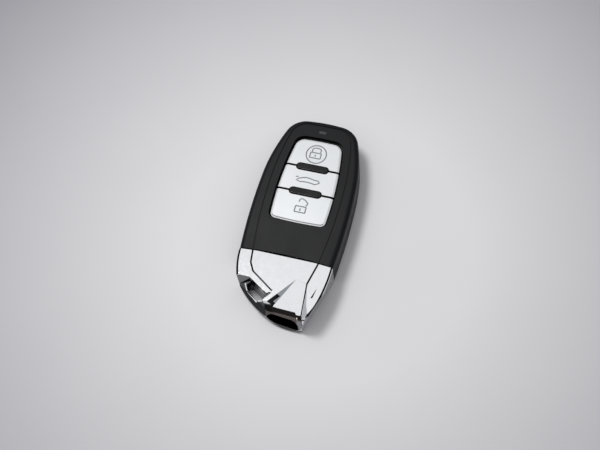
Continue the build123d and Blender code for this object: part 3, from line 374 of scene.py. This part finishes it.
def chrome_plating():
    """Chrome plated on polished metal: a bright mirror with a faint orange peel and hair scratches.

    The facets with a painted pale reflection are left without the mirror.
    """
    material = shaded("chrome_plating", Metallic=1.0)
    peel = pattern(material, 2.2, Detail=1.0)
    hairs = pattern(material, 0.12, stretch=(1.0, 0.05, 1.0), Detail=3.0)
    # The cap's patches paint shade, dark reflections and highlights into the mirror's colour
    masks = finish(
        material, (peel, "#e3e4e6", "#ebecee"), (hairs, 0.05, 0.12), (peel, 0.005),
        span=(0.45, 0.75), patches=cap_painted_light_patches + painted_pale_reflection_patches,
    )
    tree = material.node_tree
    metal = None
    for mask in masks[len(cap_painted_light_patches):]:
        links = {1: mask} if metal is None else {0: metal, 1: mask}
        rest = add_node(tree, "ShaderNodeMath", {0: 1.0}, links, operation="SUBTRACT")
        metal = rest.outputs["Value"]
    tree.links.new(metal, tree.nodes["Principled BSDF"].inputs["Metallic"])
    return material


def smoked_acrylic():
    """Clear acrylic over a dark pipe: a small grey window with a wet looking face."""
    material = shaded("smoked_acrylic", IOR=1.49, Transmission_Weight=0.4)
    streak = pattern(material, 1.2, Detail=3.0)
    finish(material, (streak, "#3c3e40", "#4a4c4e"), (streak, 0.14, 0.24))
    return material


def printed_ink():
    """Grey pad printed ink: flat and even, a shade lighter in places."""
    material = shaded("printed_ink", IOR=1.5)
    thick = pattern(material, 0.6, Detail=3.0)
    finish(material, (thick, "#6c6f72", "#7f8285"), (thick, 0.45, 0.6))
    return material


def solder_mask():
    """Green solder mask over copper tracks: glossy, with the tracks showing a paler green."""
    material = shaded("solder_mask", IOR=1.55)
    settings = {"feature": "DISTANCE_TO_EDGE", "distance": "CHEBYCHEV"}
    edges = pattern(material, 1.6, "Voronoi", settings=settings)
    limits = {"From Min": 0.06, "From Max": 0.1, "To Min": 1.0, "To Max": 0.0}
    tracks = add_node(
        material.node_tree, "ShaderNodeMapRange", limits, {"Value": edges}
    ).outputs["Result"]
    finish(
        material, (tracks, "#0d3d24", "#1f6a3c"), (tracks, 0.32, 0.22), (tracks, 0.03), span=(0.0, 1.0)
    )
    return material


def moulded_epoxy():
    """Filled epoxy of a chip's body: charcoal, matt, with a fine sandy grain."""
    material = shaded("moulded_epoxy", IOR=1.55)
    sand = pattern(material, 0.12, Detail=4.0)
    finish(material, (sand, "#151617", "#242526"), (sand, 0.5, 0.7), (sand, 0.01))
    return material


def fired_ceramic():
    """Fired ceramic of a chip capacitor: tan, speckled, with a dull glaze."""
    material = shaded("fired_ceramic", IOR=1.6)
    speck = pattern(material, 0.2, Detail=4.0)
    finish(material, (speck, "#9a7d5d", "#b79a76"), (speck, 0.35, 0.5))
    return material


def sintered_ferrite():
    """Pressed and sintered ferrite: dark grey, granular, with a dull metallic glint."""
    material = shaded("sintered_ferrite", IOR=2.2)
    grain = pattern(material, 0.25, Detail=5.0)
    finish(material, (grain, "#3a3b3d", "#55575a"), (grain, 0.4, 0.6), (grain, 0.02))
    return material


def enamelled_copper():
    """Enamelled copper wire: orange metal under clear enamel, with the turns side by side."""
    material = shaded("enamelled_copper", Metallic=1.0, Coat_Weight=0.6)
    settings = {"wave_type": "BANDS", "bands_direction": "DIAGONAL"}
    turns = pattern(material, 2.4, "Wave", settings=settings, Distortion=0.3)
    finish(
        material, (turns, "#8c4a28", "#d08a5c"), (turns, 0.34, 0.22), (turns, 0.05), span=(0.0, 1.0)
    )
    return material


def nickel_plated_steel():
    """Nickel plated steel, rolled before plating: warm grey metal with a faint drawn grain."""
    material = shaded("nickel_plated_steel", Metallic=1.0)
    grain = pattern(material, 0.14, stretch=(0.06, 1.0, 1.0), Detail=4.0)
    finish(material, (grain, "#b3b1ac", "#cfccc6"), (grain, 0.2, 0.34), (grain, 0.004))
    return material


def milled_nickel_silver():
    """Nickel silver of a key blade: satin, with the cutter's lines across it and slight handling."""
    material = shaded("milled_nickel_silver", Metallic=1.0)
    lines = pattern(material, 0.12, stretch=(0.04, 1.0, 1.0), Detail=3.0)
    handled = pattern(material, 5.0, Detail=4.0)
    finish(material, (handled, "#a9a7a0", "#c2c0b8"), (lines, 0.22, 0.4), (lines, 0.006))
    return material


def silicone_rubber():
    """Moulded silicone rubber: black, matt, with a dusty bloom."""
    material = shaded("silicone_rubber", IOR=1.41)
    bloom = pattern(material, 1.5, Detail=5.0)
    finish(material, (bloom, "#1c1d1e", "#2b2c2d"), (bloom, 0.65, 0.8))
    return material


def moulded_acetal():
    """Acetal of the switch plungers: milky white and slightly waxy."""
    material = shaded("moulded_acetal", IOR=1.48, Subsurface_Weight=0.1)
    milk = pattern(material, 0.8, Detail=3.0)
    finish(material, (milk, "#dedcd3", "#ebe9e1"), (milk, 0.32, 0.44))
    return material


def clear_epoxy():
    """Clear epoxy over the light's pale carrier: cream, glossy, with a slight haze."""
    material = shaded("clear_epoxy", IOR=1.5, Coat_Weight=0.5)
    haze = pattern(material, 0.4, Detail=3.0)
    finish(material, (haze, "#e6dfae", "#f1ecd2"), (haze, 0.2, 0.35))
    return material


def dress_nodes():
    """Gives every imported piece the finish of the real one."""
    finishes = {
        "case_black": moulded_abs(),
        "inner_black": glass_filled_nylon(),
        "bar_black": gloss_abs(),
        "button_silver": silver_lacquer(),
        "cap_chrome": chrome_plating(),
        "window_clear": smoked_acrylic(),
        "board_green": solder_mask(),
        "chip_black": moulded_epoxy(),
        "ceramic_tan": fired_ceramic(),
        "led_white": clear_epoxy(),
        "copper": enamelled_copper(),
        "ferrite": sintered_ferrite(),
        "capsule_grey": moulded_epoxy(),
        "steel": nickel_plated_steel(),
        "blade_steel": milled_nickel_silver(),
        "rubber_black": silicone_rubber(),
        "plunger_white": moulded_acetal(),
    }
    for part in frame["record"]["subparts"]:
        for material_slot in frame["nodes"][part["node"]].material_slots:
            material_slot.material = finishes[part["material_slot"]]


# Icons printed on the buttons, in millimetres from the middle and the low edge of each button
line_width = 0.46
line_roundness = 2
print_height = 0.05
ring_points = 48
corner_steps = 5
body_corner = 0.25
lock_ring_centre = (-0.1, 5.8)
lock_ring_radius = 3.85
lock_body = (-2.4, 4.1, 1.75, 6.4)
lock_shackle = [
    (-1.85, 6.65), (-1.95, 7.6), (-1.6, 8.25), (-0.25, 8.6), (1.1, 8.3), (1.4, 7.7), (1.3, 6.8),
]
lock_keyhole = [(-0.35, 5.65), (-0.45, 4.75)]
boot_lid = [(-5.25, 5.65), (-4.2, 5.75)]
boot_outline = [
    (-4.75, 4.2), (-4.0, 5.05), (-2.6, 5.6), (-1.35, 5.95), (0.45, 5.8), (2.0, 5.45), (3.5, 5.4),
    (4.15, 4.8), (3.8, 4.35), (2.6, 3.65), (1.3, 3.9), (-0.35, 4.05), (-2.05, 4.0), (-3.15, 3.8),
]
unlock_body = (-2.05, 5.55, 2.0, 8.0)
unlock_shackle = [
    (-1.25, 9.8), (-1.1, 10.7), (-0.6, 11.3), (0.1, 11.2), (1.2, 10.6), (2.0, 9.9), (2.1, 9.4),
    (1.7, 8.4),
]
unlock_keyhole = [(-0.06, 7.2), (-0.08, 6.1)]


def arc(centre, radius, start_degrees, end_degrees, steps):
    """Points along an arc."""
    step = (end_degrees - start_degrees) / steps
    turns = [math.radians(start_degrees + step * count) for count in range(steps + 1)]
    return [
        (centre[0] + radius * math.cos(turn), centre[1] + radius * math.sin(turn)) for turn in turns
    ]


def rounded_box(box, radius):
    """Points round a rectangle with rounded corners."""
    low_x, low_y, high_x, high_y = box
    left, right = low_x + radius, high_x - radius
    bottom, top = low_y + radius, high_y - radius
    corners = [(right, top, 0), (left, top, 90), (left, bottom, 180), (right, bottom, 270)]
    points = []
    for x, y, turn in corners:
        points += arc((x, y), radius, turn, turn + 90, corner_steps)
    return points


def printed_icon(body, strokes, ink):
    """An icon of flat lines on a button: each stroke is a list of points and whether it closes."""
    name = body + "_icon"
    curve = bpy.data.curves.new(name, "CURVE")
    curve.dimensions = "3D"
    curve.bevel_depth = line_width / 2
    curve.bevel_resolution = line_roundness
    curve.use_fill_caps = True
    for points, closed in strokes:
        spline = curve.splines.new("POLY")
        spline.points.add(len(points) - 1)
        for spline_point, (x, y) in zip(spline.points, points):
            spline_point.co = (x, y, 0, 1)
        spline.use_cyclic_u = closed
    drawn = add_object(name + "_curve", curve)
    evaluated = drawn.evaluated_get(bpy.context.evaluated_depsgraph_get())
    mesh = bpy.data.meshes.new_from_object(evaluated)
    bpy.data.objects.remove(drawn)
    flat = Matrix.Diagonal((mm, mm, 2 * print_height * mm / line_width, 1))
    low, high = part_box(body + "_button")
    mesh.transform(Matrix.Translation((0, low[1], high[2])) @ flat)
    for face in mesh.polygons:
        face.use_smooth = True
    mesh.materials.append(ink)
    icon = add_object(name, mesh)
    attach(icon, body)


def print_icons():
    """A closed padlock in a ring, a car with its boot lid up, and an open padlock."""
    ink = printed_ink()
    last_turn = 360 - 360 / ring_points
    ring = arc(lock_ring_centre, lock_ring_radius, 0, last_turn, ring_points - 1)
    lock_box = rounded_box(lock_body, body_corner)
    unlock_box = rounded_box(unlock_body, body_corner)
    icons = {
        "lock": [(ring, True), (lock_box, True), (lock_shackle, False), (lock_keyhole, False)],
        "boot": [(boot_outline, True), (boot_lid, False)],
        "unlock": [(unlock_box, True), (unlock_shackle, False), (unlock_keyhole, False)],
    }
    for body, strokes in icons.items():
        printed_icon(body, strokes, ink)


def lay_table():
    """A pale matt table with a faint mottle, and a painted pool of light brightest round the fob."""
    mesh = bpy.data.meshes.new("floor")
    shape = bmesh.new()
    bmesh.ops.create_circle(shape, cap_ends=True, segments=table_sides, radius=table_reach)
    shape.to_mesh(mesh)
    shape.free()
    table = add_object("floor", mesh)
    material = shaded("table_with_painted_light_pool", Roughness=0.75, IOR=1.45)
    tree = material.node_tree
    place = tree.nodes["coordinates"].outputs["Object"]
    far = add_node(
        tree, "ShaderNodeVectorMath", {1: painted_light_pool_centre}, {0: place}, operation="DISTANCE"
    ).outputs["Value"]
    limits = {"From Min": painted_light_pool_start, "From Max": painted_light_pool_reach}
    pool = add_node(tree, "ShaderNodeMapRange", limits, {"Value": far}).outputs["Result"]
    links = {0: pattern(material, 30.0, Detail=4.0), 2: pool}
    shade = add_node(
        tree, "ShaderNodeMath", {1: table_mottle_share}, links, operation="MULTIPLY_ADD"
    ).outputs["Value"]
    finish(material, (shade, *table_lit_and_shaded_tones))
    mesh.materials.append(material)


def light_studio():
    """One soft lamp, high on the left, and a plain sky, bright above and grey at its foot."""
    lamp = bpy.data.lights.new("softbox", "AREA")
    lamp.shape = "DISK"
    lamp.size = lamp_size
    lamp.energy = lamp_watts
    softbox = add_object("softbox", lamp)
    softbox.location = lamp_place
    softbox.rotation_euler = (-lamp_place).to_track_quat("-Z", "Y").to_euler()
    world = bpy.data.worlds.new("studio")
    bpy.context.scene.world = world
    world.use_nodes = True
    tree = world.node_tree
    way = add_node(tree, "ShaderNodeTexCoord").outputs["Generated"]
    height = add_node(tree, "ShaderNodeSeparateXYZ", links={"Vector": way}).outputs["Z"]
    ramp = add_node(tree, "ShaderNodeValToRGB", links={"Fac": height})
    stops = ramp.color_ramp.elements
    (foot, foot_tone), (middle, middle_tone), (top, top_tone) = sky_tones
    stops[0].position = foot
    stops[0].color = linear(foot_tone)
    stops[1].position = top
    stops[1].color = linear(top_tone)
    stops.new(middle).color = linear(middle_tone)
    background = tree.nodes["Background"]
    background.inputs["Strength"].default_value = sky_strength
    tree.links.new(ramp.outputs["Color"], background.inputs["Color"])


def set_camera():
    """The photograph's view: from above and a little to the right, rolled slightly."""
    lens = bpy.data.cameras.new("camera")
    lens.lens = camera_lens_mm
    lens.sensor_width = camera_sensor_mm
    lens.clip_start = camera_nearest
    camera = add_object("camera", lens)
    level_right = camera_forward.cross(Vector(up)).normalized()
    level_up = level_right.cross(camera_forward).normalized()
    right = math.cos(camera_roll) * level_right - math.sin(camera_roll) * level_up
    top = math.sin(camera_roll) * level_right + math.cos(camera_roll) * level_up
    turned = Matrix((right, top, -camera_forward.normalized())).transposed()
    camera.matrix_world = Matrix.Translation(camera_place) @ turned.to_4x4()
    bpy.context.scene.camera = camera


dress_nodes()
print_icons()
lay_table()
light_studio()
set_camera()
bpy.context.scene.view_settings.view_transform = "Standard"
